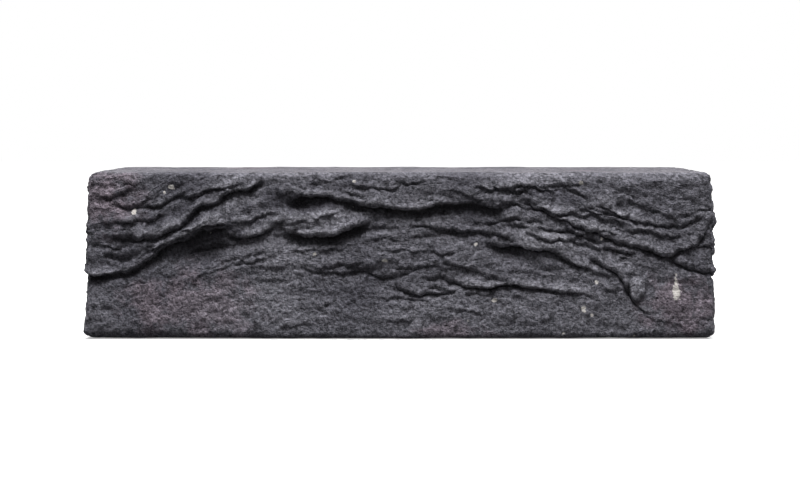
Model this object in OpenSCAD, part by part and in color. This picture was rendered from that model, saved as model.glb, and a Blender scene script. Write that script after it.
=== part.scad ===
// Hand-moulded facing brick in the 190 x 90 x 50 mm module format.
// It lies on its wider bed. The creased stretcher face looks along -Y, and the origin is the
// middle of the bottom bed.

/* [Brick format] */
// Length over the two headers, measured over the tallest lips of the clay
brick_length = 190; // [170:1:250]
// Depth from the front stretcher to the back one, measured in the same way
brick_depth = 90; // [80:1:120]
// Height from bed to bed
brick_height = 50; // [40:1:70]

/* [Mould] */
// How far each side has leaned in by the time it reaches the top bed
mould_draft = 1.2; // [0:0.1:3]
// Radius of the four upright corners
corner_radius = 3.2; // [2:0.2:8]
// Radius of a long arris where it is sharpest
stretcher_arris = 1.2; // [0.8:0.1:3]
// Radius of the short arrises over and under the headers
header_arris = 2.4; // [0.8:0.1:4]
// How much wider an arris is where the clay didn't fill the mould
arris_wear = 2.6; // [0:0.1:4]
// How far the sides stand back to leave room for the lips, at the bottom bed
lip_room = 0.9; // [0.4:0.1:1.5]
// Height of the slow swell of each side
side_swell = 0.35; // [0:0.05:1]
// Length of one wave of the swell, in percent of the side
swell_wave = 51; // [30:1:100]

/* [Folds of the clay] */
// Lips and creases in percent of the heights and depths listed for each fold
fold_strength = 100; // [40:10:120]
// Most that a crease or hollow goes into its side
hollow_depth = 4; // [1:0.5:5]
// Length over which a fold fades in and out at its ends
fold_fade = 5; // [2:0.5:15]
// Length over which the relief of a stretcher fades out before an upright corner
stretcher_fade = 3; // [2:0.5:10]
// The same for a header
header_fade = 5; // [2:0.5:10]

/* [Hidden] */

clay_colour = "#48474c";

// Spacing of the surface points: along the front, the headers and the back, and up a side
front_step = 2;
header_step = 3.6;
back_step = 6;
row_step = 1.8;
corner_steps = 3;
// Angles round an arris, from the side up to where the flat bed cuts it off
arris_angles = [0, 20, 40, 60];
// How far the uncut clay stands past a bed, and the least radius left in a corner
bed_waste = 0.6;
least_radius = 0.4;

// Section of a fold: how far over its line the lip is highest and how wide it is there, the
// share of lip and hollow that is steep, and how far the steep part and the rest reach, as
// shares of the fold's own reach
crest_height = 0.7;
crest_width = 1;
steep_share = 0.7;
steep_reach = 0.5;
tail_reach = 1.2;
// Stretch over which a line is rounded at its points, in percent of the side
line_rounding = 1;
// How far from a fold's line the rows of points move so that the line runs between two rows, how
// strongly rows are drawn towards the line, and how far from it and from the arrises
seat_reach = 1.6;
seat_looseness = 0.1;
pull_share = 0.58;
pull_reach = 2.4;
arris_clearance = 2;

// A fold is [height of its lip, depth of its crease, reach of the hollow under it, points]. Its
// points run from left to right as the side is seen from outside: along it in percent of its
// length from the middle, up it in percent of the height. A fold that runs off a side ends past 50.
front_folds = [
    [0.7, 2.0, 1.7, [[-48, 60], [-44, 60], [-41, 60.5], [-38, 64], [-35, 69], [-33, 73.5],
        [-31, 78], [-28, 83.5], [-25, 90], [-21, 97]]],
    [1.1, 2.4, 2.2, [[-58, 39], [-46, 37.5], [-43, 38.5], [-41, 42], [-39, 46], [-37, 51], [-34, 55],
        [-31, 60], [-29, 64], [-26, 64]]],
    [0.6, 1.7, 2.4, [[-28, 62], [-23, 62], [-21, 66], [-19, 70], [-17, 76]]],
    [0.8, 2.2, 4.5, [[-18, 81], [-16, 83], [-14, 85], [-11, 85], [-7, 81], [-4, 81], [-2, 79],
        [1, 77], [3, 77], [6, 81], [11, 80], [17, 77]]],
    [1.1, 3.2, 4.0, [[-19, 60], [-15, 60], [-11, 60], [-8, 63], [-6, 68], [-4, 71]]],
    [0.5, 1.6, 1.3, [[-16, 43], [-11, 39], [-8, 38.5], [-5, 40], [-3, 37], [0, 39], [2, 44], [7, 44],
        [10, 47]]],
    [0.4, 1.6, 1.2, [[-2, 31], [3, 29.5], [5, 27], [7, 28], [10, 30]]],
    [0.7, 2.2, 1.5, [[6, 36], [10, 33.5], [12, 31.5], [18, 31.5], [23, 30], [29, 28]]],
    [0.5, 1.5, 2.6, [[13, 55], [16, 55], [20, 54], [22, 52], [25, 50], [27, 46], [31, 42]]],
    [0.5, 1.5, 1.4, [[17, 67], [23, 67], [25, 66], [28, 62], [32, 57]]],
    [0.8, 2.3, 1.6, [[18, 83], [21, 81], [24, 75], [29, 67.5], [31, 64], [33, 60], [37, 55], [40, 50],
        [42.5, 49.5], [45, 52], [48, 57], [52, 64]]],
    [0.5, 1.7, 1.2, [[40, 51], [43, 46], [45.5, 41.5], [48, 40], [56, 40]]],
    [0.4, 1.2, 1.2, [[27, 79], [33, 74], [39, 70], [43, 68], [46, 70.5], [49, 77]]],
    [0.5, 1.7, 1.3, [[28, 50], [31, 46], [33.5, 41], [35, 36.5], [37, 30]]],
    [0.4, 1.1, 1.1, [[-46, 80], [-40, 78], [-36, 83], [-32, 91]]],
    [0.4, 1.1, 1.2, [[-48, 49], [-43, 49.5], [-40, 53]]],
    [0.3, 1.0, 1.3, [[-3, 62], [2, 60], [9, 63], [14, 64]]],
    [0.3, 1.0, 1.2, [[-8, 91], [-2, 90], [4, 93]]],
    [0.3, 1.0, 1.2, [[12, 91], [17, 88], [21, 86]]],
];
right_folds = [
    [0.6, 1.8, 2.6, [[-58, 71], [-44, 68], [-30, 58], [-6, 50], [18, 46], [36, 50]]],
    [0.4, 1.4, 1.4, [[-58, 40], [-46, 37], [-36, 38], [-26, 34]]],
    [0.5, 1.3, 2.6, [[-20, 26], [4, 32], [26, 30], [46, 22]]],
    [0.4, 1.1, 2.2, [[2, 74], [22, 78], [44, 70]]],
    [0.3, 0.9, 1.8, [[-44, 84], [-30, 80], [-14, 82]]],
];
back_folds = [
    [0.9, 2.2, 5.0, [[-58, 34], [-40, 40], [-28, 54], [-12, 62], [2, 60], [10, 62]]],
    [0.8, 2.1, 4.5, [[-22, 78], [-8, 84], [10, 82], [24, 72], [34, 60], [46, 54]]],
    [0.6, 1.6, 2.8, [[-14, 38], [4, 42], [16, 38], [30, 26]]],
    [0.5, 1.5, 2.6, [[16, 58], [26, 50], [38, 36], [46, 32]]],
    [0.4, 1.1, 2.0, [[-44, 70], [-36, 76], [-26, 88]]],
    [0.4, 1.0, 2.0, [[-34, 30], [-22, 40], [-10, 46]]],
    [0.3, 0.9, 1.8, [[-46, 20], [-30, 22], [-16, 18]]],
];
left_folds = [
    [0.6, 1.6, 3.0, [[-46, 30], [-24, 42], [-2, 48], [14, 46]]],
    [0.7, 1.9, 2.8, [[-26, 70], [-4, 76], [14, 70], [26, 58], [38, 44], [46, 38], [58, 38]]],
    [0.4, 1.1, 2.2, [[10, 28], [28, 32], [44, 26]]],
    [0.3, 0.9, 1.8, [[-46, 60], [-34, 66], [-22, 64]]],
];

// A lump or hollow is [place along, place up, half length, half height, how far it stands out,
// tilt]; its places are in percent as for a fold
front_lumps = [
    [-12, 74, 9, 3.4, 1.5, 4], [-30, 52, 10, 3.8, -2.6, 14], [-15.5, 79, 3.5, 1.6, -1.0, 0],
    [20.5, 62, 3.4, 2.6, 1.5, 0], [25, 57, 5, 2.2, 1.4, -12], [17, 55, 4.4, 2.4, -2.0, 0],
    [6, 66, 14, 4.5, -0.9, -3], [-35, 61, 10, 1.6, 0.9, 24], [-31, 71, 9, 1.4, 0.8, 26],
    [-2, 52, 16, 3.0, 0.5, 0], [0, 14, 90, 8, 0.5, 0], [-45, 90, 7, 4, -0.4, 0],
    [36, 66, 12, 3.5, 0.4, -14], [37.2, 30.5, 2.4, 3.5, 1.0, 0],
];
right_lumps = [[-10, 40, 12, 4, -0.9, 0], [14, 62, 9, 3, 1.4, 5]];
back_lumps = [
    [-20, 48, 12, 4, -1.4, 10], [6, 72, 12, 3.4, 1.2, -3], [30, 46, 8, 3, 0.8, -14],
    [0, 14, 90, 8, 0.4, 0],
];
left_lumps = [[-6, 62, 12, 4, 1.4, 0], [10, 38, 9, 4, -0.9, -6]];

// Wear along an arris: place in percent as for a fold, and share of the full wear in percent
front_top_wear = [
    [-50, 100], [-36, 5], [-20, 55], [-4, 35], [11, 95], [23, 65], [28, 95], [36, 80], [50, 100],
];
front_bottom_wear = [
    [-50, 100], [-38, 80], [-26, 30], [-15, 30], [-1, 5], [17, 35], [31, 25], [40, 45], [50, 80],
];
back_top_wear = [[-50, 90], [-38, 40], [-20, 70], [0, 25], [18, 60], [34, 15], [50, 90]];
back_bottom_wear = [[-50, 80], [-30, 25], [-12, 50], [8, 15], [28, 60], [42, 30], [50, 80]];
header_wear = [[-50, 60], [-26, 20], [-4, 45], [18, 15], [34, 40], [50, 60]];

// A side is [direction it faces, its length, its distance from the middle, point spacing,
// sharpest arris, wear of its top arris, wear of its bottom arris, folds, lumps, corner fade]
sides = [
    [270, brick_length, brick_depth / 2, front_step, stretcher_arris,
        front_top_wear, front_bottom_wear, front_folds, front_lumps, stretcher_fade],
    [0, brick_depth, brick_length / 2, header_step, header_arris,
        header_wear, header_wear, right_folds, right_lumps, header_fade],
    [90, brick_length, brick_depth / 2, back_step, stretcher_arris,
        back_top_wear, back_bottom_wear, back_folds, back_lumps, stretcher_fade],
    [180, brick_depth, brick_length / 2, header_step, header_arris,
        header_wear, header_wear, left_folds, left_lumps, header_fade],
];

function direction(angle) = [cos(angle), sin(angle)];
function smooth(x) = let (t = max(0, min(1, x))) t * t * (3 - 2 * t);
function bell(x) = exp(-x * x);
function last(list) = list[len(list) - 1];
function total(list) = len(list) == 0 ? 0 : list * [for (item = list) 1];

// Height of a fold's line at a place along its side, rounded at its points
function fold_line(points, along) =
    (lookup(along - line_rounding, points) + 2 * lookup(along, points)
        + lookup(along + line_rounding, points)) / 4 * brick_height / 100;

function fold_slope(points, along, length) =
    (fold_line(points, along + line_rounding) - fold_line(points, along - line_rounding))
        / (2 * line_rounding * length / 100);

// The folds that cross a place along a side: [height, share of full strength there, how far
// the fold is from level, the fold]
function folds_at(side, along) = [
    for (fold = side[7])
        let (
            points = fold[3],
            run = min(along - points[0][0], last(points)[0] - along) * side[1] / 100
        )
        if (run > 0)
            [
                fold_line(points, along),
                smooth(run / fold_fade),
                cos(atan(fold_slope(points, along, side[1]))),
                fold
            ]
];

// Section across a fold at a distance over its line, in millimetres out of the side: a round lip
// above the line, and a steep hollow under it that runs out downwards
function fold_section(fold, over) =
    over > 0
        ? fold[0] * (steep_share * bell((over - crest_height) / crest_width)
            + (1 - steep_share) * exp(-over / (tail_reach * fold[2])))
        : -fold[1] * (steep_share * bell(over / (steep_reach * fold[2]))
            + (1 - steep_share) * exp(over / (tail_reach * fold[2])));

function lump_relief(lump, side, along, up) =
    let (
        away = (along - lump[0]) * side[1] / 100,
        over = up - lump[1] * brick_height / 100,
        u = (away * cos(lump[5]) + over * sin(lump[5])) / lump[2],
        v = (over * cos(lump[5]) - away * sin(lump[5])) / lump[3]
    )
    lump[4] * bell(norm([u, v]));

// How far a side stands back at a height
function stand_back(up) = lip_room + mould_draft * up / brick_height;

// All the relief of a side at a place along it and a height, as deep as the hollows go and as
// high as the clay has room
function side_relief(side, folds, along, up) =
    let (
        laps = total([for (at = folds) at[1] * fold_section(at[3], (up - at[0]) * at[2])]),
        lumps = total([for (lump = side[8]) lump_relief(lump, side, along, up)]),
        swell = side_swell * sin(180 * up / brick_height)
            * sin(360 * along / swell_wave + side[0]),
        relief = fold_strength / 100 * (laps + lumps) + swell,
        fade = smooth((50 - abs(along)) * side[1] / 100 / side[9])
    )
    fade * max(-hollow_depth, min(stand_back(up), relief));

// How far a row moves so that a fold's line runs half way between two rows
function seat_shift(line, first, spacing) =
    let (place = (line - first) / spacing) (place - floor(place) - 0.5) * spacing;

function seated(up, folds, first, spacing) =
    let (near = [for (at = folds) at[1] * bell((up - at[0]) / seat_reach)])
    len(folds) == 0
        ? up
        : up + near * [for (at = folds) seat_shift(at[0], first, spacing)]
            / (total(near) + seat_looseness);

function pulled(up, folds, i = 0) =
    i == len(folds)
        ? up
        : let (over = up - folds[i][0])
            pulled(up - pull_share * folds[i][1] * over * bell(over / pull_reach), folds, i + 1);

// Stations round the outline: [side, place along its straight part in percent, share of the way
// round the upright corner that follows the side]
stations = [
    for (i = [0:len(sides) - 1])
        let (
            straight = sides[i][1] - 2 * corner_radius,
            steps = round(straight / sides[i][3])
        )
        each concat(
            [for (k = [0:steps]) [i, 100 * k / steps - 50, 0]],
            [for (k = [1:corner_steps - 1]) [i, 50, k / corner_steps]]
        )
];

function arris_on(side, along, edge) =
    side[4] + arris_wear * lookup(along, side[edge]) / 100;

// Radius of the arris at a station; edge 5 is the top one and edge 6 the bottom one
function arris(station, edge) =
    let (
        here = arris_on(sides[station[0]], station[1], edge),
        next = arris_on(sides[(station[0] + 1) % len(sides)], -50, edge)
    )
    here + (next - here) * station[2];

// A point of the outline at a station and a height, drawn in by an inset
function outline_point(station, inset, up) =
    let (
        side = sides[station[0]],
        radius = max(least_radius, corner_radius - inset),
        out = side[2] - inset - radius,
        half = side[1] / 2 - inset - radius,
        centre = direction(side[0]) * out + direction(side[0] + 90) * half * station[1] / 50,
        at = centre + radius * direction(side[0] + 90 * station[2])
    )
    [at.x, at.y, up];

// Rows up the brick: [kind, value], where an arris row has its angle and a side row has its
// share of the way from the bottom arris to the top one
side_rows = round((brick_height - 2 * (stretcher_arris + arris_wear)) / row_step);
rows = concat(
    [["bottom waste", last(arris_angles)]],
    [for (i = [len(arris_angles) - 1:-1:0]) ["bottom arris", arris_angles[i]]],
    [for (k = [1:side_rows - 1]) ["side", k / side_rows]],
    [for (angle = arris_angles) ["top arris", angle]],
    [["top waste", last(arris_angles)]]
);

// How far an arris of the given radius has come in at an angle round it, and what is left
// from there to its bed
function arris_inset(radius, angle) = radius * (1 - cos(angle));
function arris_left(radius, angle) = radius * (1 - sin(angle));

// Height of a side row: level shares of the side, moved to suit the folds that cross it
function side_row_height(share, folds, low, high) =
    let (
        side_height = brick_height - low - high,
        up = low + side_height * share,
        moved = pulled(seated(up, folds, low, side_height / side_rows), folds),
        clear = min(up - low, brick_height - high - up)
    )
    up + (moved - up) * smooth(clear / arris_clearance);

// A point of the uncut clay at a station in a row, with the folds that cross the station
function clay_point(station, along, folds, row) =
    let (
        kind = row[0],
        low = arris(station, 6),
        high = arris(station, 5),
        is_low = kind == "bottom waste" || kind == "bottom arris",
        is_waste = kind == "bottom waste" || kind == "top waste",
        radius = is_low ? low : high,
        angle = kind == "side" ? 0 : row[1],
        past = is_waste ? arris_left(radius, angle) + bed_waste : 0,
        to_bed = arris_left(radius, angle) - past,
        up = kind == "side"
            ? side_row_height(row[1], folds, low, high)
            : is_low ? to_bed : brick_height - to_bed,
        relief = station[2] > 0 ? 0 : side_relief(sides[station[0]], folds, along, up)
    )
    outline_point(
        station,
        stand_back(up) + arris_inset(radius, angle) + past / tan(last(arris_angles))
            - relief * cos(angle),
        up
    );

function clay_column(station) =
    let (
        side = sides[station[0]],
        along = station[1] * (1 - 2 * corner_radius / side[1]),
        folds = station[2] > 0 ? [] : folds_at(side, along)
    )
    [for (row = rows) clay_point(station, along, folds, row)];

// The moulded clay before its beds are struck flat: columns of points lofted into one skin, each
// four of them split along the diagonal whose ends stand out alike, which runs along a fold
module moulded_clay() {
    count = len(stations);
    tall = len(rows);
    skin = [for (station = stations) each clay_column(station)];
    points = concat(skin, [[0, 0, -bed_waste], [0, 0, brick_height + bed_waste]]);
    bottom_middle = len(skin);
    top_middle = len(skin) + 1;
    walls = [
        for (s = [0:count - 1]) for (r = [0:tall - 2])
            let (
                a = s * tall + r,
                b = (s + 1) % count * tall + r,
                c = a + 1,
                d = b + 1,
                out = concat(direction(sides[stations[s][0]][0]), 0)
            )
            each abs((skin[a] - skin[d]) * out) < abs((skin[b] - skin[c]) * out)
                ? [[a, c, d], [a, d, b]]
                : [[a, c, b], [b, c, d]]
    ];
    caps = [
        for (s = [0:count - 1])
            let (
                here = s * tall,
                next = (s + 1) % count * tall
            )
            each [
                [here, next, bottom_middle],
                [next + tall - 1, here + tall - 1, top_middle]
            ]
    ];
    polyhedron(points, concat(walls, caps));
}

// The space between the two bed planes
module between_beds() {
    side = brick_length + brick_depth;
    translate([-side / 2, -side / 2, 0])
        cube([side, side, brick_height]);
}

module brick() {
    color(clay_colour)
        intersection() {
            moulded_clay();
            between_beds();
        }
}

brick();
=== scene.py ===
import math

import bmesh
import bpy
import numpy as np
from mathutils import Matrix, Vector


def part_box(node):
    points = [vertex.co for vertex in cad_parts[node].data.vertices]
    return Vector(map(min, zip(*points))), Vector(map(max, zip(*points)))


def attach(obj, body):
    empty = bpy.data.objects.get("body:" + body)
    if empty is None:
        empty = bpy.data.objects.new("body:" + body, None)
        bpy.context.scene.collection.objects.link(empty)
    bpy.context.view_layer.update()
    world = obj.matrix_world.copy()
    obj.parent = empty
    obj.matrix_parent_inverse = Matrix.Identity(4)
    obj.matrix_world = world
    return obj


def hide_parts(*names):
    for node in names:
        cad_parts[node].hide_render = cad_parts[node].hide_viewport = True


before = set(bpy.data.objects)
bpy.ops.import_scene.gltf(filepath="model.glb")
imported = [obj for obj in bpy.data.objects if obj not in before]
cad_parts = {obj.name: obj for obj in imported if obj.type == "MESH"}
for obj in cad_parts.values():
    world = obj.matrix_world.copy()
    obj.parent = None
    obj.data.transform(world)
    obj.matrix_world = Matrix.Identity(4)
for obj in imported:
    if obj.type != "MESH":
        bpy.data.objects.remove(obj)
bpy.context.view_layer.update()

mm = 0.001
scene = bpy.context.scene
scene.view_settings.view_transform = "Standard"


# Small helpers

def hexColour(code):
    # sRGB hex to the linear values that the renderer works in
    parts = [int(code[i:i + 2], 16) / 255 for i in (1, 3, 5)]
    return [p / 12.92 if p <= 0.04045 else ((p + 0.055) / 1.055) ** 2.4 for p in parts] + [1.0]


def deselectAll():
    if bpy.context.object and bpy.context.object.mode != "OBJECT":
        bpy.ops.object.mode_set(mode="OBJECT")
    bpy.ops.object.select_all(action="DESELECT")


def smoothStep(x):
    x = np.clip(x, 0, 1)
    return x * x * (3 - 2 * x)


def readPoints(piece):
    # vertex places in millimetres
    points = np.zeros(len(piece.data.vertices) * 3)
    piece.data.vertices.foreach_get("co", points)
    return points.reshape(-1, 3) / mm


def writePoints(piece, points):
    piece.data.vertices.foreach_set("co", (points * mm).ravel())
    piece.data.update()


def faceNormals(piece):
    # one row for each face
    normals = np.zeros(len(piece.data.polygons) * 3)
    piece.data.polygons.foreach_get("normal", normals)
    return normals.reshape(-1, 3)


def applyModifier(piece, modifier):
    bpy.context.view_layer.objects.active = piece
    bpy.ops.object.modifier_apply(modifier=modifier.name)


# The brick: a hand-moulded clay body, pressed and folded from a cube cut into a fine net

low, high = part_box("brick")
brick = {
    "name": "brick_body",
    "size": [(b - a) / mm for a, b in zip(low, high)],   # millimetres, from the frame
    "seed": 7,
    "cutsAlong": [(12, 28), (10, 12), (9, 10)],   # passes of even cuts along x, y and z
    "bedRim": 4,                 # mm of each flat bed that keep the fine net
    "bedHalvings": 4,
    "lipRoom": 0.9,              # how far all sides stand back for the lips
    "draft": 1.2,                # lean of each side over the height
    "cornerRadius": 3.2,
    "leastRadius": 0.4,
    "arris": {"stretcher": 1.2, "header": 1.7},
    "arrisWear": 2.6,            # most that wear adds to an arris
    "endFade": {"stretcher": 3.0, "header": 5.0},   # mm from the corners to the folds' full height
    "bedFade": 3.0,              # mm from the beds in which the net isn't drawn all the way
    "swell": 0.35,               # slow waves of each side, and their length in percent of it
    "swellWave": 51,
    "highest": 1.5,              # most that clay stands out of a side, and most that it sinks
    "deepest": -4.0,
    "calmBelow": 0.30,           # share of the height under which the clay has few folds
    "calmBlend": 0.14,
    "calmShare": 0.3,
    "flowStretch": 0.17,         # the flow map is this much shorter along a side, so wrinkles are longer
    "flowApart": 90,             # mm between the sides on that map
    "roughOnBed": 0.15,          # share of the roughness that reaches the beds and the arrises
    "roughOnArris": 0.25,
    "overturned": -0.2,          # a face that looks further inwards than this has folded over
    "easings": 20,               # most passes that draw such spots straight
    # clouds that roughen the clay: name, where, size and strength in mm, fineness
    "clouds": [("swell", "sides", 16, 1.0, 2), ("lumps", "sides", 5, 1.1, 3),
               ("wrinkles", "wrinkled", 2.2, 1.4, 3), ("grit", "sides", 1.2, 0.9, 2),
               ("bedSwell", "beds", 14, 0.5, 3)],
    # wear along the arrises: percent along a side from its middle, percent of the full wear
    "wear": {
        "frontTop": [(-50, 100), (-36, 5), (-20, 55), (-4, 35), (11, 95), (23, 65), (28, 95), (36, 80),
                     (50, 100)],
        "frontBottom": [(-50, 100), (-38, 80), (-26, 30), (-15, 30), (-1, 5), (17, 35), (31, 25),
                        (40, 45), (50, 80)],
        "backTop": [(-50, 90), (-38, 40), (-20, 70), (0, 25), (18, 60), (34, 15), (50, 90)],
        "backBottom": [(-50, 80), (-30, 25), (-12, 50), (8, 15), (28, 60), (42, 30), (50, 80)],
        "header": [(-50, 35), (-26, 20), (-4, 45), (18, 15), (34, 40), (50, 35)],
    },
    # folds: lip, crease and reach of the hollow in mm, and points in percent of the side,
    # along from its middle and up from the bottom bed
    "folds": {
        "front": [
            (0.8, 2.5, 2.2, [(-46, 60), (-44, 60), (-41, 60.5), (-38, 64), (-35, 69), (-33, 74),
                             (-31, 79.5), (-28, 82), (-25.5, 86.5), (-23, 91), (-20.5, 96)]),
            (0.5, 1.2, 1.2, [(-35, 82), (-31, 86.5), (-29, 89), (-27, 91.5), (-25, 95.5), (-24, 98)]),
            (1.1, 2.4, 2.2, [(-58, 39), (-46, 37.5), (-43, 38.5), (-41, 42), (-39, 46.5), (-37, 52),
                             (-34, 57), (-31, 62), (-29, 66), (-26, 67)]),
            (0.5, 1.1, 1.2, [(-40, 51), (-36, 56), (-33, 62), (-30, 69), (-26, 74)]),
            (0.45, 1.7, 2.4, [(-28, 62), (-23, 62), (-21, 66), (-19, 70), (-17, 76)]),
            (0.8, 2.2, 4.5, [(-18, 81), (-16, 83), (-14, 85), (-11, 85), (-7, 81), (-4, 81), (-2, 79),
                             (1, 77), (3, 77), (6, 81), (11, 80), (17, 77)]),
            (1.1, 3.2, 4.0, [(-19, 61), (-15, 61.5), (-11, 62.5), (-8, 66), (-6, 69), (-4, 71.5)]),
            (0.4, 1.1, 1.1, [(-16, 43), (-11, 39), (-8, 38.5), (-5, 40), (-3, 37), (0, 38), (3, 42)]),
            (0.4, 1.6, 1.2, [(-2, 31), (3, 29.5), (5, 27), (7, 28), (10, 30)]),
            (0.7, 2.2, 1.5, [(6, 36), (10, 33.5), (12, 31.5), (18, 31.5), (23, 30), (29, 28)]),
            (0.3, 1.1, 1.1, [(9, 27), (16, 27)]),
            (0.5, 1.5, 2.6, [(13, 55), (16, 55), (20, 54), (22, 52), (25, 50), (27, 46), (31, 42)]),
            (0.5, 1.5, 1.4, [(17, 67), (23, 67), (25, 66), (28, 62), (32, 57)]),
            (0.4, 1.2, 1.3, [(20, 85), (24, 79), (28, 76)]),
            (0.8, 2.3, 1.6, [(18, 83), (21, 81), (24, 74), (29, 67), (31, 64), (33, 59), (37, 55),
                             (40, 51), (42.5, 50), (44.5, 53), (46.5, 56.5), (47.8, 63), (48.6, 73),
                             (49.2, 80)]),
            (0.5, 1.7, 1.2, [(41, 50.5), (43.5, 46), (45.5, 42), (48, 40), (56, 40)]),
            (0.4, 1.2, 1.2, [(30, 55), (35, 52.5), (38, 50)]),
            (0.4, 1.2, 1.2, [(27, 79), (33, 74), (39, 70), (43, 68), (46, 70.5), (49, 77)]),
            (0.5, 1.7, 1.3, [(29, 49), (31, 46), (33.5, 41), (35, 36), (35.3, 29), (36.5, 23), (40, 15)]),
            (0.4, 1.1, 1.1, [(-46, 80), (-40, 78), (-36, 83), (-32, 91)]),
            (0.4, 1.1, 1.1, [(-45, 72), (-39, 71), (-36, 75)]),
            (0.3, 0.7, 1.2, [(-48, 49), (-43, 49.5), (-40, 53)]),
            (0.3, 1.0, 1.2, [(11, 70), (16, 71), (20, 73)]),
            (0.3, 1.0, 1.2, [(12, 91), (17, 88), (21, 86)]),
            (0.3, 0.7, 1.2, [(-3, 62), (2, 60), (9, 63), (14, 64)]),
            (0.3, 1.1, 1.1, [(2, 36), (8, 37)]),
            (0.3, 1.0, 1.2, [(-8, 91), (-2, 90), (4, 93)]),
        ],
        "right": [
            (0.6, 1.8, 2.6, [(-58, 71), (-44, 68), (-30, 58), (-6, 50), (18, 46), (36, 50)]),
            (0.4, 1.4, 1.4, [(-58, 40), (-46, 37), (-36, 38), (-26, 34)]),
            (0.5, 1.3, 2.6, [(-20, 26), (4, 32), (26, 30), (46, 22)]),
            (0.4, 1.1, 2.2, [(2, 74), (22, 78), (44, 70)]),
            (0.3, 0.9, 1.8, [(-44, 84), (-30, 80), (-14, 82)]),
        ],
        "back": [
            (0.9, 2.2, 5.0, [(-58, 34), (-40, 40), (-28, 54), (-12, 62), (2, 60), (10, 62)]),
            (0.8, 2.1, 4.5, [(-22, 78), (-8, 84), (10, 82), (24, 72), (34, 60), (46, 54)]),
            (0.6, 1.6, 2.8, [(-14, 38), (4, 42), (16, 38), (30, 26)]),
            (0.5, 1.5, 2.6, [(16, 58), (26, 50), (38, 36), (46, 32)]),
            (0.4, 1.1, 2.0, [(-44, 70), (-36, 76), (-26, 88)]),
            (0.4, 1.0, 2.0, [(-34, 30), (-22, 40), (-10, 46)]),
            (0.3, 0.9, 1.8, [(-46, 20), (-30, 22), (-16, 18)]),
        ],
        "left": [
            (0.6, 1.6, 3.0, [(-46, 30), (-24, 42), (-2, 48), (14, 46)]),
            (0.7, 1.9, 2.8, [(-26, 70), (-4, 76), (14, 70), (26, 58), (38, 44), (46, 38), (58, 38)]),
            (0.4, 1.1, 2.2, [(10, 28), (28, 32), (44, 26)]),
            (0.3, 0.9, 1.8, [(-46, 60), (-34, 66), (-22, 64)]),
        ],
    },
    # lumps and hollows: place in percent, half length, half height and lift in mm, tilt in degrees
    "lumps": {
        "front": [(-12, 74, 9, 3.4, 1.5, 4), (-30, 54, 10, 3.8, -2.6, 14), (-15.5, 80, 4.2, 2.0, -1.6, 0),
                  (20.5, 62, 3.4, 2.6, 1.5, 0), (25, 57, 5, 2.2, 1.4, -12), (17, 52, 4.4, 2.4, -2.0, 0),
                  (6, 66, 14, 4.5, -0.7, -3), (-35, 61, 10, 1.6, 0.9, 24), (-31, 71, 9, 1.4, 0.8, 26),
                  (-2, 52, 16, 3.0, 0.5, 0), (0, 14, 90, 8, 0.5, 0), (-45, 90, 7, 4, -0.4, 0),
                  (36, 66, 12, 3.5, 0.4, -14)],
        "right": [(-10, 40, 12, 4, -0.9, 0), (14, 62, 9, 3, 1.4, 5)],
        "back": [(-20, 48, 12, 4, -1.4, 10), (6, 72, 12, 3.4, 1.2, -3), (30, 46, 8, 3, 0.8, -14),
                 (0, 14, 90, 8, 0.4, 0)],
        "left": [(-6, 62, 12, 4, 1.4, 0), (10, 38, 9, 4, -0.9, -6)],
    },
    # pebbles in the clay: place in percent, half width, half height and lift in mm
    "pebbles": {
        "front": [(37.2, 30.5, 2.4, 3.7, 1.1)],
        "back": [(-33, 24, 2.6, 2.0, 0.8)],
    },
    # fields of small creases: from and to along and up in percent, how many, depth and half
    # length in mm
    "fields": {
        "front": [(-47, -22, 64, 96, 20, 0.6, 6), (-46, -20, 42, 74, 22, 0.65, 8),
                  (-18, 16, 84, 97, 16, 0.5, 6), (14, 34, 54, 96, 30, 0.65, 10),
                  (34, 49, 54, 78, 14, 0.5, 9), (34, 49, 78, 96, 8, 0.3, 8),
                  (-22, 40, 42, 78, 36, 0.6, 7), (0, 40, 22, 44, 16, 0.5, 6),
                  (-49, 49, 4, 36, 26, 0.22, 5)],
        "back": [(-49, 49, 36, 96, 90, 0.55, 9), (-49, 49, 4, 36, 34, 0.3, 6)],
        "header": [(-46, 46, 34, 94, 60, 0.6, 8), (-46, 46, 4, 34, 20, 0.3, 6)],
    },
    # the line that the clay's creases run along, in percent
    "flow": {
        "stretcher": [(-50, 38), (-44, 39), (-40, 44), (-36, 53), (-30, 61), (-20, 70), (-8, 75), (8, 75),
                      (20, 73), (28, 67), (36, 57), (43, 50), (50, 50)],
        "header": [(-50, 42), (-25, 48), (0, 52), (25, 48), (50, 42)],
    },
    # section of a lap of clay, in millimetres square to its line
    "lap": {
        "gather": 0.45,          # share by which the net is drawn to the line, and from how far
        "gatherFrom": 2.2,
        "drop": 0.18,            # softness of the drop from the lip into the crease
        "round": 0.7,            # share of the lip and of the hollow that is round; the rest runs out
        "lipAt": 0.7,            # where the lip is highest, and how wide it is
        "lipWide": 1.0,
        "lipRunOut": 1.1,        # times the reach, as are the next three
        "hollowWide": 0.5,
        "hollowRunOut": 1.2,
        "shadeWide": 0.45,
        "shadePerDepth": 0.75,    # painted shade of the crease for each millimetre of its depth
        "hangAt": 0.35,          # where the lip hangs over most, and how wide that is
        "hangWide": 0.7,
        "hang": 0.3,             # of a fold at least hangFull deep
        "hangFull": 1.5,
        "fade": 5.0,             # over which a fold ends
        "wander": 0.5,           # of a fold's line; that of a long hollow is straighter
        "wanderOfLong": 0.3,
        "longReach": 3,
        "vary": 0.4,             # share by which height and depth change along a fold
        "bend": 1.0,             # percent of a side over which the line is rounded at its points
        # waves of each line: length, share of its wander
        "waves": [(23.0, 0.45), (9.0, 0.3), (4.1, 0.2), (1.9, 0.1)],
    },
    # how the small creases differ from the folds
    "crease": {
        "length": (0.5, 1.5),    # least and most, times the field's
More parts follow.
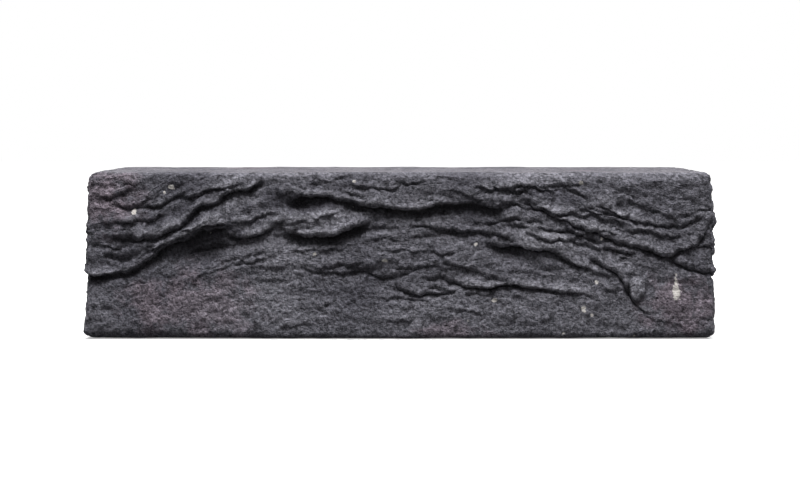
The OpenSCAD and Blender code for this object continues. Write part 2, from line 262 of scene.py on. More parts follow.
        "depth": (0.4, 1.5),
        "reach": (0.8, 1.5),     # mm
        "lip": 0.6,              # times its depth
        "hang": 0.08,
        "fade": 4.0,
        "wander": 1.0,
    },
    # the crease round a pebble: where and how wide, in times the pebble, its depth in mm and its painted
    # shade
    "rim": {
        "at": 1.12,
        "wide": 0.2,
        "deep": 0.8,
        # painted shade in the rim's crease
        "dark": 0.8,
        "side": (0.4, -0.35, -0.25),    # strongest at the lower left
    },
}
lap, crease, rim = brick["lap"], brick["crease"], brick["rim"]
halfX, halfY = brick["size"][0] / 2, brick["size"][1] / 2
height = brick["size"][2]
hair = 0.01      # mm; a point closer to a face than this lies on it
aligned = 0.9    # a direction that is this much along another counts as along it
tiny = 1e-6      # keeps what is divided by from being zero

sides = []
for name, out, kind in [("front", (0, -1), "stretcher"), ("right", (1, 0), "header"),
                        ("back", (0, 1), "stretcher"), ("left", (-1, 0), "header")]:
    sides.append({
        "out": out, "half": halfX if kind == "stretcher" else halfY,
        "arris": brick["arris"][kind], "fade": brick["endFade"][kind], "flow": brick["flow"][kind],
        "top": brick["wear"].get(name + "Top", brick["wear"]["header"]),
        "bottom": brick["wear"].get(name + "Bottom", brick["wear"]["header"]),
        "folds": brick["folds"][name], "lumps": brick["lumps"][name],
        "pebbles": brick["pebbles"].get(name, []),
        "fields": brick["fields"].get(name, brick["fields"]["header"]),
    })


def lookUp(pairs, x):
    return np.interp(x, [p[0] for p in pairs], [p[1] for p in pairs])


def cutEdges(axis, parts):
    # cuts every edge that runs along an axis into equal parts
    net = bmesh.from_edit_mesh(bpy.context.object.data)
    for edge in net.edges:
        run = edge.verts[1].co - edge.verts[0].co
        edge.select_set(abs(run[axis]) > aligned * run.length)
    bmesh.update_edit_mesh(bpy.context.object.data)
    bpy.ops.mesh.subdivide(number_cuts=parts - 1)


def addBlank():
    # a cube at the brick's size and place, cut into a net of 0.57 by 0.56 mm on the stretchers
    # and 0.75 by 0.56 mm on the headers
    deselectAll()
    bpy.ops.mesh.primitive_cube_add(size=1, location=(0, 0, height / 2 * mm))
    blank = bpy.context.object
    blank.name = blank.data.name = brick["name"]
    blank.scale = [s * mm for s in brick["size"]]
    bpy.ops.object.transform_apply(location=True, rotation=True, scale=True)
    bpy.ops.object.mode_set(mode="EDIT")
    bpy.ops.mesh.select_mode(type="EDGE")
    for axis, passes in enumerate(brick["cutsAlong"]):
        for parts in passes:
            cutEdges(axis, parts)
    # the flat beds need fewer faces than the folded sides
    bpy.ops.mesh.select_mode(type="VERT")
    net = bmesh.from_edit_mesh(blank.data)
    for point in net.verts:
        x, y, z = (c / mm for c in point.co)
        inside = abs(x) < halfX - brick["bedRim"] and abs(y) < halfY - brick["bedRim"]
        point.select_set(inside and (z < hair or z > height - hair))
    net.select_flush_mode()
    bmesh.update_edit_mesh(blank.data)
    bpy.ops.mesh.unsubdivide(iterations=brick["bedHalvings"])
    bpy.ops.object.mode_set(mode="OBJECT")
    return blank


def arrisRadius(box, edge):
    # radius of the worn arris over or under each point of the box, blended round corners
    reach = brick["cornerRadius"]
    toX, toY = halfX - np.abs(box[:, 0]), halfY - np.abs(box[:, 1])
    onHeader = smoothStep(0.5 + (toY - toX) / (2 * reach))
    found = []
    for pair in ((0, 2), (1, 3)):
        values = []
        for index in pair:
            side = sides[index]
            along = box[:, 0] * -side["out"][1] + box[:, 1] * side["out"][0]
            values.append(side["arris"]
                          + brick["arrisWear"] * lookUp(side[edge], 50 * along / side["half"]) / 100)
        across = -box[:, 1] / halfY if pair == (0, 2) else box[:, 0] / halfX
        share = smoothStep(0.5 + across / 2)
        found.append(values[0] * share + values[1] * (1 - share))
    return found[0] * (1 - onHeader) + found[1] * onHeader


def pressInMould(box):
    # gives the square net the moulded form: leaning sides, round corners, worn arrises
    onBed = (box[:, 2] < hair) | (box[:, 2] > height - hair)
    isTop = box[:, 2] > height / 2
    inset = np.where(onBed, np.minimum(halfX - np.abs(box[:, 0]), halfY - np.abs(box[:, 1])), 0)
    toBed = np.minimum(box[:, 2], height - box[:, 2])
    radius = np.where(isTop, arrisRadius(box, "top"), arrisRadius(box, "bottom"))
    # the turn round the arris: 0 on the side, a quarter turn on the bed
    turnSide = np.arctan2(np.maximum(radius - toBed, 0), radius)
    turnBed = math.pi / 2 - np.arctan2(np.maximum(radius - inset, 0), radius)
    turn = np.where(onBed, turnBed, turnSide)
    roundIn = np.where(inset >= radius, inset, radius * (1 - np.cos(turn)))
    fromBed = np.where(onBed | (toBed < radius), radius * (1 - np.sin(turn)), toBed)
    up = np.where(isTop, height - fromBed, fromBed)
    # each point lies on a ring round the middle of its bed or of the height, and the ring shrinks
    stand = brick["lipRoom"] + brick["draft"] * up / height
    ringX = halfX - roundIn - stand * (1 - inset / halfX)
    ringY = halfY - roundIn - stand * (1 - inset / halfY)
    x = box[:, 0] * ringX / (halfX - inset)
    y = box[:, 1] * ringY / np.maximum(halfY - inset, tiny)
    # upright corners
    corner = np.maximum(brick["leastRadius"], brick["cornerRadius"] - roundIn)
    overX = np.maximum(np.abs(x) - (ringX - corner), 0)
    overY = np.maximum(np.abs(y) - (ringY - corner), 0)
    both = (overX > 0) & (overY > 0)
    length = np.hypot(overX, overY)
    pull = np.where(both, np.maximum(overX, overY) / np.maximum(length, tiny), 1)
    x = np.sign(x) * (np.minimum(np.abs(x), ringX - corner) + overX * pull)
    y = np.sign(y) * (np.minimum(np.abs(y), ringY - corner) + overY * pull)
    # and how much each point faces out of its side: 1 on the side, 0 on the bed
    return np.stack([x, y, up], axis=1), np.where(onBed & (inset >= radius), 0, np.cos(turn))


def wobble(along, rng, size):
    # a small wander of a line, with its waves started at random
    return size * sum(share * np.sin(along / length * 2 * math.pi + rng.uniform(0, 6.3))
                      for length, share in lap["waves"])


def foldLine(side, points, along):
    # height of a fold's line, rounded at its points
    percent = 50 * along / side["half"]
    near = [lookUp(points, percent + d) for d in (-lap["bend"], 0, lap["bend"])]
    return (near[0] + 2 * near[1] + near[2]) / 4 * height / 100


def slopeOf(side, points, along):
    return (foldLine(side, points, along + 1) - foldLine(side, points, along - 1)) / 2


def layFold(state, line, slope, run, lip, deep, reach, fade, hang):
    # one lap of clay: a round lip above its line, a steep hollow under it
    level = 1 / np.sqrt(1 + slope ** 2)
    fadeEnds = smoothStep(run / fade)
    above = (state["up"] - line) * level
    state["up"] -= lap["gather"] * above * np.exp(-(above / lap["gatherFrom"]) ** 2) * fadeEnds
    above = (state["up"] - line) * level
    step = 1 / (1 + np.exp(-np.clip(above / lap["drop"], -30, 30)))
    over, under = np.maximum(above, 0), np.minimum(above, 0)
    lipShape = (lap["round"] * np.exp(-((over - lap["lipAt"]) / lap["lipWide"]) ** 2)
                + (1 - lap["round"]) * np.exp(-over / (lap["lipRunOut"] * reach)))
    hollow = (lap["round"] * np.exp(-(under / (lap["hollowWide"] * reach)) ** 2)
              + (1 - lap["round"]) * np.exp(under / (lap["hollowRunOut"] * reach)))
    state["relief"] += fadeEnds * (step * lip * lipShape - (1 - step) * deep * hollow)
    # painted shade in the crease under the lip, darker the deeper the crease
    dark = fadeEnds * (1 - step) * np.exp(-(under / (lap["shadeWide"] * reach)) ** 2)
    dark *= np.minimum(1, lap["shadePerDepth"] * deep)
    state["creaseShade"] = np.maximum(state["creaseShade"], dark)
    state["hang"] -= fadeEnds * hang * np.exp(-((above - lap["hangAt"]) / lap["hangWide"]) ** 2)


def layFolds(side, state, rng):
    along = state["along"]
    for lip, deep, reach, points in side["folds"]:
        first, last = points[0][0] * side["half"] / 50, points[-1][0] * side["half"] / 50
        wander = lap["wanderOfLong"] if reach > lap["longReach"] else lap["wander"]
        line = foldLine(side, points, along) + wobble(along, rng, wander)
        run = np.minimum(along - first, last - along)
        vary = 1 + wobble(along, rng, lap["vary"])
        layFold(state, line, slopeOf(side, points, along), run, lip * vary, deep * vary, reach,
                lap["fade"], lap["hang"] * min(1, deep / lap["hangFull"]))


def laySmallCreases(side, state, rng):
    # short creases that follow the flow of the clay
    along = state["along"]
    flow = foldLine(side, side["flow"], along)
    slope = slopeOf(side, side["flow"], along)
    for left, right, bottom, top, count, depth, length in side["fields"]:
        for _ in range(count):
            middle = rng.uniform(left, right) * side["half"] / 50
            at = rng.uniform(bottom, top) * height / 100
            half = length * rng.uniform(*crease["length"])
            deep = depth * rng.uniform(*crease["depth"])
            line = at + flow - foldLine(side, side["flow"], np.array([middle]))[0]
            line += wobble(along, rng, crease["wander"])
            run = half - np.abs(along - middle)
            layFold(state, line, slope, run, crease["lip"] * deep, deep,
                    rng.uniform(*crease["reach"]), crease["fade"], crease["hang"])


def laySwell(side, state):
    turn = math.atan2(side["out"][1], side["out"][0])
    wave = np.sin(2 * math.pi * 50 * state["along"] / side["half"] / brick["swellWave"] + turn)
    state["relief"] += brick["swell"] * np.sin(math.pi * state["up"] / height) * wave


def layLumps(side, state):
    for along, up, halfLong, halfHigh, lift, tilt in side["lumps"]:
        awayX = state["along"] - along * side["half"] / 50
        awayZ = state["up"] - up * height / 100
        turn = math.radians(tilt)
        u = (awayX * math.cos(turn) + awayZ * math.sin(turn)) / halfLong
        v = (awayZ * math.cos(turn) - awayX * math.sin(turn)) / halfHigh
        state["relief"] += lift * np.exp(-(u * u + v * v))


def layPebbles(side, state):
    for along, up, halfWide, halfHigh, lift in side["pebbles"]:
        u = (state["along"] - along * side["half"] / 50) / halfWide
        v = (state["up"] - up * height / 100) / halfHigh
        far = np.sqrt(u * u + v * v)
        share, shareU, shareV = rim["side"]
        ring = (np.exp(-((far - rim["at"]) / rim["wide"]) ** 2)
                * np.clip(share + shareU * u + shareV * v, 0, 1))
        state["relief"] += lift * np.sqrt(np.maximum(1 - far * far, 0)) - rim["deep"] * ring
        # painted shade along the rim, strongest at the lower left
        state["creaseShade"] = np.maximum(state["creaseShade"], rim["dark"] * ring)


def foldSide(side, pressed, flat, rng):
    # all the relief of one side; returns how each point moves, the painted shade of its creases and
    # how far it stands out
    out = np.array(side["out"])
    along = pressed[:, 0] * -out[1] + pressed[:, 1] * out[0]
    state = {"along": along, "up": pressed[:, 2].copy(), "relief": np.zeros(len(along)),
             "creaseShade": np.zeros(len(along)), "hang": np.zeros(len(along))}
    laySwell(side, state)
    layLumps(side, state)
    layFolds(side, state, rng)
    laySmallCreases(side, state, rng)
    layPebbles(side, state)
    ends = smoothStep((side["half"] - np.abs(along)) / side["fade"])
    beds = smoothStep(np.minimum(pressed[:, 2], height - pressed[:, 2]) / brick["bedFade"])
    lift = ends * flat * np.clip(state["relief"], brick["deepest"], brick["highest"])
    moved = np.zeros_like(pressed)
    moved[:, :2] = lift[:, None] * out
    moved[:, 2] = (state["up"] - pressed[:, 2] + state["hang"]) * ends * beds
    return moved, state["creaseShade"] * ends, lift


def addGroup(piece, name, weights):
    steps = 20
    group = piece.vertex_groups.new(name=name)
    levels = np.round(weights * steps).astype(int)
    for level in range(1, steps + 1):
        group.add(np.nonzero(levels == level)[0].tolist(), level / steps, "ADD")


def roughen(piece, name, where, size, strength, fineness):
    # pushes the clay in and out by a cloud-like pattern of a real size in millimetres; wrinkles
    # follow the flow map, and the beds only sink
    onFlow = where == "wrinkled"
    pattern = bpy.data.textures.new(name, "CLOUDS")
    pattern.noise_scale = size * mm * (2 if onFlow else 1)   # a UV map is read from -1 to 1
    pattern.noise_depth = fineness
    push = piece.modifiers.new(name, "DISPLACE")
    push.texture = pattern
    push.texture_coords = "UV" if onFlow else "LOCAL"
    push.uv_layer = "flow" if onFlow else ""
    push.strength = strength * mm
    push.mid_level = 1.0 if where == "beds" else 0.5
    push.vertex_group = where
    applyModifier(piece, push)


def layFlowMap(piece, pressed):
    # a UV map in metres: along the side, and up from the line that its creases run along
    faces = piece.data.polygons
    normals = faceNormals(piece)
    sizes = np.zeros(len(faces), int)
    faces.foreach_get("loop_total", sizes)
    corners = np.zeros(len(piece.data.loops), int)
    piece.data.loops.foreach_get("vertex_index", corners)
    place = pressed[corners]
    uv = place[:, :2].copy()
    for index, side in enumerate(sides):
        facing = normals[:, 0] * side["out"][0] + normals[:, 1] * side["out"][1]
        mine = np.repeat(facing > aligned, sizes)
        along = place[mine, 0] * -side["out"][1] + place[mine, 1] * side["out"][0]
        up = place[mine, 2] - foldLine(side, side["flow"], along)
        uv[mine] = np.stack([brick["flowStretch"] * along + brick["flowApart"] * index, up], axis=1)
    layer = piece.data.uv_layers.new(name="flow")
    layer.data.foreach_set("uv", (uv * mm).ravel())


def turnedOver(piece, outward):
    return (faceNormals(piece) * outward).sum(axis=1) < brick["overturned"]


def easeOverturned(piece, outward):
    # where clay has folded through itself in a crease, its points go back between their neighbours
    passes = 0
    turned = turnedOver(piece, outward)
    bpy.context.view_layer.objects.active = piece
    while turned.any() and passes < brick["easings"]:
        bpy.ops.object.mode_set(mode="EDIT")
        bpy.ops.mesh.select_mode(type="FACE")
        bpy.ops.mesh.select_all(action="DESELECT")
        net = bmesh.from_edit_mesh(piece.data)
        net.faces.ensure_lookup_table()
        for index in np.nonzero(turned)[0]:
            net.faces[index].select_set(True)
        bmesh.update_edit_mesh(piece.data)
        bpy.ops.mesh.vertices_smooth(factor=0.5, repeat=2)
        bpy.ops.object.mode_set(mode="OBJECT")
        turned = turnedOver(piece, outward)
        passes += 1
    print("brick: eased in", passes, "passes,", turned.sum(), "faces still overturned")


def makeBrick():
    rng = np.random.default_rng(brick["seed"])
    piece = addBlank()
    outward = faceNormals(piece)
    box = readPoints(piece)
    pressed, flat = pressInMould(box)
    onSide = (box[:, 2] > hair) & (box[:, 2] < height - hair)
    moved, creaseShade, lift = np.zeros_like(pressed), np.zeros(len(box)), np.zeros(len(box))
    for side in sides:
        toSide = side["out"][0] * box[:, 0] + side["out"][1] * box[:, 1]
        mine = toSide > (halfX if side["out"][0] else halfY) - hair
        shift, dark, raised = foldSide(side, pressed[mine], flat[mine], rng)
        moved[mine] += shift
        creaseShade[mine] = np.maximum(creaseShade[mine], dark)
        lift[mine] += raised
    layFlowMap(piece, pressed)
    writePoints(piece, pressed + moved)
    # the painted shade of the creases, for the material
    piece.data.attributes.new("creaseShade", "FLOAT", "POINT").data.foreach_set("value", creaseShade)
    piece.data.attributes.new("lift", "FLOAT", "POINT").data.foreach_set("value", lift)
    print("brick: folded", len(box), "points")

    # the folds and wrinkles fade towards the bottom bed
    calm = smoothStep((pressed[:, 2] / height - brick["calmBelow"]) / brick["calmBlend"])
    folded = brick["calmShare"] + (1 - brick["calmShare"]) * calm
    piece.data.attributes.new("folded", "FLOAT", "POINT").data.foreach_set("value", folded * onSide)
    flatShare = brick["roughOnArris"] + (1 - brick["roughOnArris"]) * smoothStep(flat)
    sideWeight = np.where(onSide, 1, brick["roughOnBed"]) * flatShare
    addGroup(piece, "sides", sideWeight)
    addGroup(piece, "wrinkled", sideWeight * folded)
    addGroup(piece, "beds", (~onSide).astype(float))
    for name, where, size, strength, fineness in brick["clouds"]:
        roughen(piece, name, where, size, strength, fineness)

    easeOverturned(piece, outward)
    # nothing stands out of the frame's box
    writePoints(piece, np.clip(readPoints(piece), np.array(low) / mm, np.array(high) / mm))
    piece.vertex_groups.clear()
    triangles = sum(len(face.vertices) - 2 for face in piece.data.polygons)
    print("brick:", triangles, "triangles")
    deselectAll()
    piece.select_set(True)
    bpy.context.view_layer.objects.active = piece
    bpy.ops.object.shade_smooth()
    return piece


# Materials

def addNode(tree, kind, links=None, **settings):
    made = tree.nodes.new("ShaderNode" + kind)
    for name, value in settings.items():
        setattr(made, name, value)
    for name, value in (links or {}).items():
        if isinstance(value, bpy.types.NodeSocket):
            tree.links.new(value, made.inputs[name])
        else:
            made.inputs[name].default_value = value
    return made


def startMaterial(name):
    material = bpy.data.materials.new(name)
    material.use_nodes = True
    material.node_tree.nodes.clear()
    return material, material.node_tree


# Clay thrown into a sanded mould and fired with little air: a dull violet black, with mauve
# where it got more air, pale specks of lime and quartz, painted shade in its creases and hollows and a
# painted highlight where it stands out
clay = {
    "dark": "#4c4b52",
    "light": "#6d6c73",
    "mauve": "#6e666e",
    "darkPatch": "#3c3b42",
    # colour of the painted shade in creases and hollows
    "crease": "#131214",
    # painted highlight on clay that stands out
    "paintedHighlight": "#8f8e96",
    "sanded": "#767378",
    "speck": "#cfcac6",
    "roughness": 0.92,
    "sheen": 0.12,       # sanded clay hardly shines
    "ior": 1.5,
    # cloud patterns: size in mm, detail, roughness
    "clouds": {
        "tone": (24, 4, 0.6),
        "ragged": (9, 5, 0.7),       # rims of the patches
        "grain": (0.9, 3, 0.75),     # clumps of sand grains
        "pits": (2.2, 3, 0.55),
        "chips": (0.8, 2, 0.5),      # rims of the specks
        "drag": (2.6, 4, 0.65),      # lines that the strike drags along the beds
        "tears": (1.7, 3, 0.6),      # small holes that it tears
        "threads": (1.5, 3, 0.6),    # fine creases along the flow of the clay
    },
    "dragStretch": 0.06,     # drag and tears are drawn out along the brick: their map is shorter there
    "tearStretch": 0.35,
    "threadTwist": 0.6,
    "grit": 0.8,             # mm, coarse grains of sand; the finer ones don't show
    "spotSpacing": 7,        # mm between the cells of which a few hold a tiny pale spot
    "spotsFrom": 0.9,
    "patchSpread": 0.45,
    "darkPatchShare": 0.75,
    # from where a pattern begins to show to where it shows in full, and what that makes of it: the
    # share of its colour that is laid on, or how dark and light it makes the clay
    "ranges": {
        "patch": {"From Min": 0.42, "From Max": 0.58},
        "bed": {"From Min": 0.8, "From Max": 0.97},
        "sand": {"From Min": 0.8, "From Max": 1.2, "To Max": 0.8},
        "tears": {"From Min": 0.42, "From Max": 0.34},
        "torn": {"From Min": 0.42, "From Max": 0.58, "To Min": 0.25},
        "pits": {"From Min": 0.3, "From Max": 0.46},
        "specks": {"From Min": 0.82, "From Max": 1.05},
        "spots": {"From Min": 0.09, "From Max": 0.05},
        "light": {"From Min": 0.32, "From Max": 0.68},
        # painted highlight where the clay stands out, and painted shade where it sinks
        "paintedHighlight": {"From Min": 0.2, "From Max": 1.1, "To Max": 0.6},    # mm that the clay stands out
        "deep": {"From Min": -0.35, "From Max": -2.0, "To Max": 0.6},
        "grainTone": {"From Min": 0.36, "From Max": 0.64, "To Min": 0.55, "To Max": 1.5},
        "gritTone": {"To Min": 0.72, "To Max": 1.28},
        # pits are painted darker: painted shade in the small holes that the pit bump sinks
        "pitShade": {"To Min": 0.45},
        "tearTone": {"To Min": 1.0, "To Max": 0.45},
    },
    # relief: strength, depth in mm
    "flowBump": (0.8, 1.2),
    "pitBump": (0.5, 0.5),
    "grainBump": (1.0, 0.8),
    "gritBump": (0.6, -0.3),
    "tearBump": (1.0, -0.8),
    # mauve patches: place in mm, size in mm, how many times wider than high
    "mauvePatches": [((-62, -45, 10), 27, 1.9), ((-87, -45, 41), 18, 1), ((83, -45, 11), 19, 1.2),
                     ((14, -45, 0), 16, 3), ((94, 20, 16), 22, 1), ((-30, 45, 34), 24, 1),
                     ((60, 45, 12), 18, 1), ((-95, -12, 34), 16, 1), ((-48, 22, 50), 18, 1),
                     ((58, -16, 50), 13, 1)],
    # places painted darker, in the same way
    "darkPatches": [((-57, -45, 34), 21, 2.7), ((-29, -45, 41), 15, 2), ((44, -45, 42), 12, 2.2)],
    # pale specks, in the same way; the first three are one drop
    "specks": [((82.3, -45, 13.6), 2.4, 0.7), ((82.2, -45, 14.9), 2.3, 0.5),
               ((82.1, -45, 16.3), 2.0, 0.14), ((22.6, -45, 28.3), 0.9, 1),
               ((-68, -45, 45.3), 1.5, 1.2), ((-79, -45, 38), 1.3, 0.8), ((-25.5, -45, 25.4), 1.0, 1),
               ((28.1, -45, 11.7), 1.2, 1.4), ((58.4, -45, 17.1), 1.0, 1), ((54.6, -45, 9.1), 1.4, 0.8),
               ((-13.5, -45, 47), 0.9, 1.4), ((53.8, -45, 46.6), 1.1, 1), ((60, -45, 30), 0.8, 1),
               ((-4.5, -45, 23.5), 1.1, 1.7), ((57, -45, 7.4), 0.8, 1), ((-70, -45, 43.8), 0.7, 1)],
    # how much a speck minds the distance straight into a stretcher, as the face isn't quite at it
    "intoFace": 0.1,
}


def maskAround(tree, place, centre, size, wide, deep=1.0):
    # 1 at a centre and 0 a size away; its width is wide times its height
    stretch = math.sqrt(wide)
    shifted = addNode(tree, "VectorMath", {0: place, 1: [c * mm for c in centre]},
                      operation="SUBTRACT").outputs[0]
    scaled = addNode(tree, "VectorMath", {0: shifted, 1: (1 / stretch, deep, stretch)},
                     operation="MULTIPLY").outputs[0]
    far = addNode(tree, "VectorMath", {0: scaled}, operation="LENGTH").outputs["Value"]
    return addNode(tree, "MapRange", {"Value": far, "From Min": size * mm, "From Max": 0.0}).outputs[0]


def masksAround(tree, place, spots, deep=1.0):
    # the strongest of the masks round several places
    share = 0.0
    for centre, size, wide in spots:
        mask = maskAround(tree, place, centre, size, wide, deep)
        share = addNode(tree, "Math", {0: share, 1: mask}, operation="MAXIMUM").outputs[0]
    return share


def raggedPatches(tree, place, ragged, spots):
    share = masksAround(tree, place, spots)
    share = addNode(tree, "Math", {0: share, 1: clay["patchSpread"]}, operation="ADD").outputs[0]
    share = addNode(tree, "Math", {0: share, 1: ragged}, operation="MULTIPLY").outputs[0]
    return addNode(tree, "MapRange", {"Value": share, **clay["ranges"]["patch"]}).outputs[0]


def layColours(tree, colour, layers):
    # lays colours over one another: share, colour, blend
    for share, over, blend in layers:
        over = hexColour(over) if isinstance(over, str) else over
        colour = addNode(tree, "Mix", {0: share, 6: colour, 7: over}, data_type="RGBA",
                         blend_type=blend).outputs[2]
    return colour


def makeClay():
    material, tree = startMaterial("firedClay")
    ranges = clay["ranges"]
    place = addNode(tree, "TexCoord").outputs["Object"]
    # painted shade along the creases
    creaseShade = addNode(tree, "Attribute", attribute_name="creaseShade").outputs["Fac"]
    lift = addNode(tree, "Attribute", attribute_name="lift").outputs["Fac"]
    folded = addNode(tree, "Attribute", attribute_name="folded").outputs["Fac"]
    facing = addNode(tree, "SeparateXYZ", {0: addNode(tree, "NewGeometry").outputs["Normal"]})
    along = {"threads": addNode(tree, "UVMap", uv_map="flow").outputs[0]}
    for name, stretch in (("drag", clay["dragStretch"]), ("tears", clay["tearStretch"])):
        along[name] = addNode(tree, "Mapping", {"Vector": place, "Scale": (stretch, 1.0, 1.0)}).outputs[0]
    cloud = {}
    for name, (size, detail, rough) in clay["clouds"].items():
        twist = clay["threadTwist"] if name == "threads" else 0.0
        cloud[name] = addNode(tree, "TexNoise", {
            "Vector": along.get(name, place), "Scale": 1 / (size * mm), "Detail": detail,
            "Roughness": rough, "Distortion": twist}).outputs[0]
    grit = addNode(tree, "TexVoronoi", {"Vector": place, "Scale": 1 / (clay["grit"] * mm)})
    gritTone = addNode(tree, "SeparateColor", {0: grit.outputs["Color"]}).outputs[0]

    # darker patches at the listed places
    darkPatch = raggedPatches(tree, place, cloud["ragged"], clay["darkPatches"])
    darkPatch = addNode(tree, "Math", {0: darkPatch, 1: clay["darkPatchShare"]}, operation="MULTIPLY").outputs[0]
    mauve = raggedPatches(tree, place, cloud["ragged"], clay["mauvePatches"])

    # the sanded beds are paler, and torn in places
    onBed = addNode(tree, "Math", {0: facing.outputs["Z"]}, operation="ABSOLUTE").outputs[0]
    onBed = addNode(tree, "MapRange", {"Value": onBed, **ranges["bed"]}).outputs[0]
    drag = addNode(tree, "Math", {0: cloud["drag"], 1: onBed}, operation="MULTIPLY").outputs[0]
    sand = addNode(tree, "Math", {0: cloud["tone"], 1: drag}, operation="ADD").outputs[0]
    sand = addNode(tree, "MapRange", {"Value": sand, **ranges["sand"]}).outputs[0]
    sand = addNode(tree, "Math", {0: sand, 1: onBed}, operation="MULTIPLY").outputs[0]
    tears = addNode(tree, "MapRange", {"Value": cloud["tears"], **ranges["tears"]}).outputs[0]
    torn = addNode(tree, "MapRange", {"Value": cloud["tone"], **ranges["torn"]}).outputs[0]
    torn = addNode(tree, "Math", {0: torn, 1: onBed}, operation="MULTIPLY").outputs[0]
    tears = addNode(tree, "Math", {0: tears, 1: torn}, operation="MULTIPLY").outputs[0]

    pits = addNode(tree, "MapRange", {"Value": cloud["pits"], **ranges["pits"]}).outputs[0]
    specks = masksAround(tree, place, clay["specks"], clay["intoFace"])
    specks = addNode(tree, "Math", {0: specks, 1: cloud["chips"]}, operation="ADD").outputs[0]
    specks = addNode(tree, "MapRange", {"Value": specks, **ranges["specks"]}).outputs[0]
    cells = addNode(tree, "TexVoronoi", {"Vector": place, "Scale": 1 / (clay["spotSpacing"] * mm)})
    chosen = addNode(tree, "SeparateColor", {0: cells.outputs["Color"]}).outputs[0]
    chosen = addNode(tree, "Math", {0: chosen, 1: clay["spotsFrom"]}, operation="GREATER_THAN").outputs[0]
    spots = addNode(tree, "MapRange", {"Value": cells.outputs["Distance"], **ranges["spots"]}).outputs[0]
    spots = addNode(tree, "Math", {0: spots, 1: chosen}, operation="MULTIPLY").outputs[0]
    specks = addNode(tree, "Math", {0: specks, 1: spots}, operation="MAXIMUM").outputs[0]

    # shares and tones, each from its pattern
    share = {}
    for name, pattern in [("light", cloud["tone"]), ("tearTone", tears), ("paintedHighlight", lift), ("deep", lift),
                          ("grainTone", cloud["grain"]), ("gritTone", gritTone), ("pitShade", pits)]:
        share[name] = addNode(tree, "MapRange", {"Value": pattern, **ranges[name]}).outputs[0]
    colour = layColours(tree, hexColour(clay["dark"]), [
        (share["light"], clay["light"], "MIX"),
        (darkPatch, clay["darkPatch"], "MIX"),
        (mauve, clay["mauve"], "MIX"),
        (sand, clay["sanded"], "MIX"),
        (1.0, share["tearTone"], "MULTIPLY"),
        # painted highlight on raised clay and painted shade in its hollows
        (share["paintedHighlight"], clay["paintedHighlight"], "MIX"),
        (share["deep"], clay["crease"], "MIX"),
        # painted shade along the creases
        (creaseShade, clay["crease"], "MIX"),
        (1.0, share["grainTone"], "MULTIPLY"),
        (1.0, share["gritTone"], "MULTIPLY"),
        # painted shade in the pits
        (1.0, share["pitShade"], "MULTIPLY"),
        (specks, clay["speck"], "MIX")])

    # relief too fine for the mesh: creases along the flow, pits, sand and tears
    threads = addNode(tree, "Math", {0: cloud["threads"], 1: folded}, operation="MULTIPLY").outputs[0]
    ribs = addNode(tree, "Math", {0: threads, 1: drag}, operation="ADD").outputs[0]
    bump = {}
    for pattern, (strength, depth) in [
            (ribs, clay["flowBump"]), (pits, clay["pitBump"]), (cloud["grain"], clay["grainBump"]),
            (grit.outputs["Distance"], clay["gritBump"]), (tears, clay["tearBump"])]:
        bump.update({"Height": pattern, "Strength": strength, "Distance": depth * mm})
        bump["Normal"] = addNode(tree, "Bump", bump).outputs[0]
    shader = addNode(tree, "BsdfPrincipled", {
        "Base Color": colour, "Roughness": clay["roughness"], "IOR": clay["ior"],
        "Specular IOR Level": clay["sheen"], "Normal": bump["Normal"]})
    addNode(tree, "OutputMaterial", {"Surface": shader.outputs[0]})
    return material


# Studio

studio = {
    "lens": 110,                 # mm
    "sensor": 36,
    "elevation": 3,              # degrees above the horizon
    "fill": 0.80,                # share of the picture's width that the brick takes
    "floorSize": 6,
    "white": "#ffffff",
    "floorColour": "#e8e8e8",
    "floorBounce": "#4c4c4c",    # what the floor throws back at the brick
    "floorGlow": 0.42,           # white of its own near the brick, where it takes the shadow
    "glowFrom": 0.12,            # metres from the brick's middle
    "glowTo": 0.45,
    "ambient": 0.13,
    "lampsAim": (0, 0, 0.02),
    # lamps: name, place in metres, width and height in metres, power in watts
    "lamps": [
        ("key", (-0.12, -0.34, 0.95), (0.5, 0.35), 17.5),
        ("fill", (0.25, -1.3, 0.25), (1.2, 0.6), 1.0),
        ("rear", (0.2, 0.6, 0.9), (0.8, 0.4), 6.0),
        ("side", (0.75, -0.05, 0.8), (0.5, 0.5), 5.0),
    ],
}


def addCamera():
    size = brick["size"]
    wide = size[0] * mm / studio["fill"]
    distance = wide * studio["lens"] / studio["sensor"] + size[1] / 2 * mm
    tilt = math.radians(studio["elevation"])
    aim = Vector((0, 0, size[2] / 2 * mm))
    data = bpy.data.cameras.new("camera")
    data.lens = studio["lens"]
    data.sensor_width = studio["sensor"]
    data.clip_start = 0.01
    camera = bpy.data.objects.new("camera", data)
    scene.collection.objects.link(camera)
    back = Vector((0, -math.cos(tilt), math.sin(tilt)))
    camera.location = aim + back * distance
    camera.rotation_euler = (math.pi / 2 - tilt, 0, 0)
    scene.camera = camera


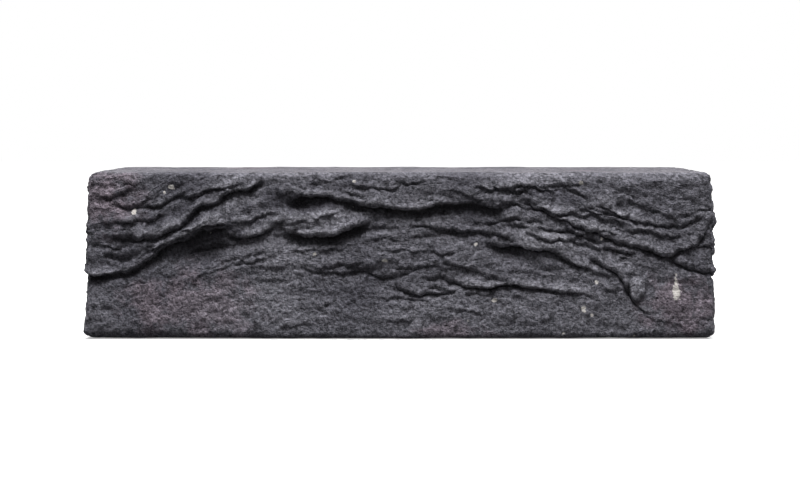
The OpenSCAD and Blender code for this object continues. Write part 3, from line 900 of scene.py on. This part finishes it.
def addLamp(name, place, size, power):
    data = bpy.data.lights.new(name, "AREA")
    data.shape = "RECTANGLE"
    data.size, data.size_y = size
    data.energy = power
    lamp = bpy.data.objects.new(name, data)
    scene.collection.objects.link(lamp)
    lamp.location = place
    aim = Vector(studio["lampsAim"]) - Vector(place)
    lamp.rotation_euler = aim.to_track_quat("-Z", "Y").to_euler()


def seenDirectly(tree):
    # 1 for what the camera or a reflection sees, 0 for light that falls on the brick
    path = addNode(tree, "LightPath")
    return addNode(tree, "Math", {0: path.outputs["Is Camera Ray"], 1: path.outputs["Is Glossy Ray"]},
                   operation="MAXIMUM").outputs[0]


def makeStudio():
    deselectAll()
    bpy.ops.mesh.primitive_plane_add(size=studio["floorSize"])
    floor = bpy.context.object
    floor.name = "floor"
    white = hexColour(studio["white"])
    # matt painted board: pale, without shine, and white further out
    material, tree = startMaterial("paintedBoard")
    seen = seenDirectly(tree)
    place = addNode(tree, "TexCoord").outputs["Object"]
    away = addNode(tree, "VectorMath", {0: place}, operation="LENGTH").outputs["Value"]
    glowing = addNode(tree, "MapRange", {"Value": away, "From Min": studio["glowFrom"],
                                         "From Max": studio["glowTo"],
                                         "To Min": studio["floorGlow"]}).outputs[0]
    strength = addNode(tree, "Math", {0: seen, 1: glowing}, operation="MULTIPLY")
    glow = addNode(tree, "Emission", {"Color": white, "Strength": strength.outputs[0]})
    tone = addNode(tree, "Mix", {0: seen, 6: hexColour(studio["floorBounce"]),
                                 7: hexColour(studio["floorColour"])}, data_type="RGBA")
    matte = addNode(tree, "BsdfDiffuse", {"Color": tone.outputs[2]})
    both = addNode(tree, "AddShader", {0: matte.outputs[0], 1: glow.outputs[0]})
    addNode(tree, "OutputMaterial", {"Surface": both.outputs[0]})
    floor.data.materials.append(material)

    scene.world = bpy.data.worlds.new("room")
    scene.world.use_nodes = True
    tree = scene.world.node_tree
    tree.nodes.clear()
    level = addNode(tree, "MapRange", {"Value": seenDirectly(tree), "To Min": studio["ambient"]})
    back = addNode(tree, "Background", {"Color": white, "Strength": level.outputs[0]})
    addNode(tree, "OutputWorld", {"Surface": back.outputs[0]})

    for lamp in studio["lamps"]:
        addLamp(*lamp)


body = makeBrick()
body.data.materials.clear()
body.data.materials.append(makeClay())
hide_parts("brick")
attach(body, "root")
print("brick: done")

addCamera()
makeStudio()
print("studio: done")
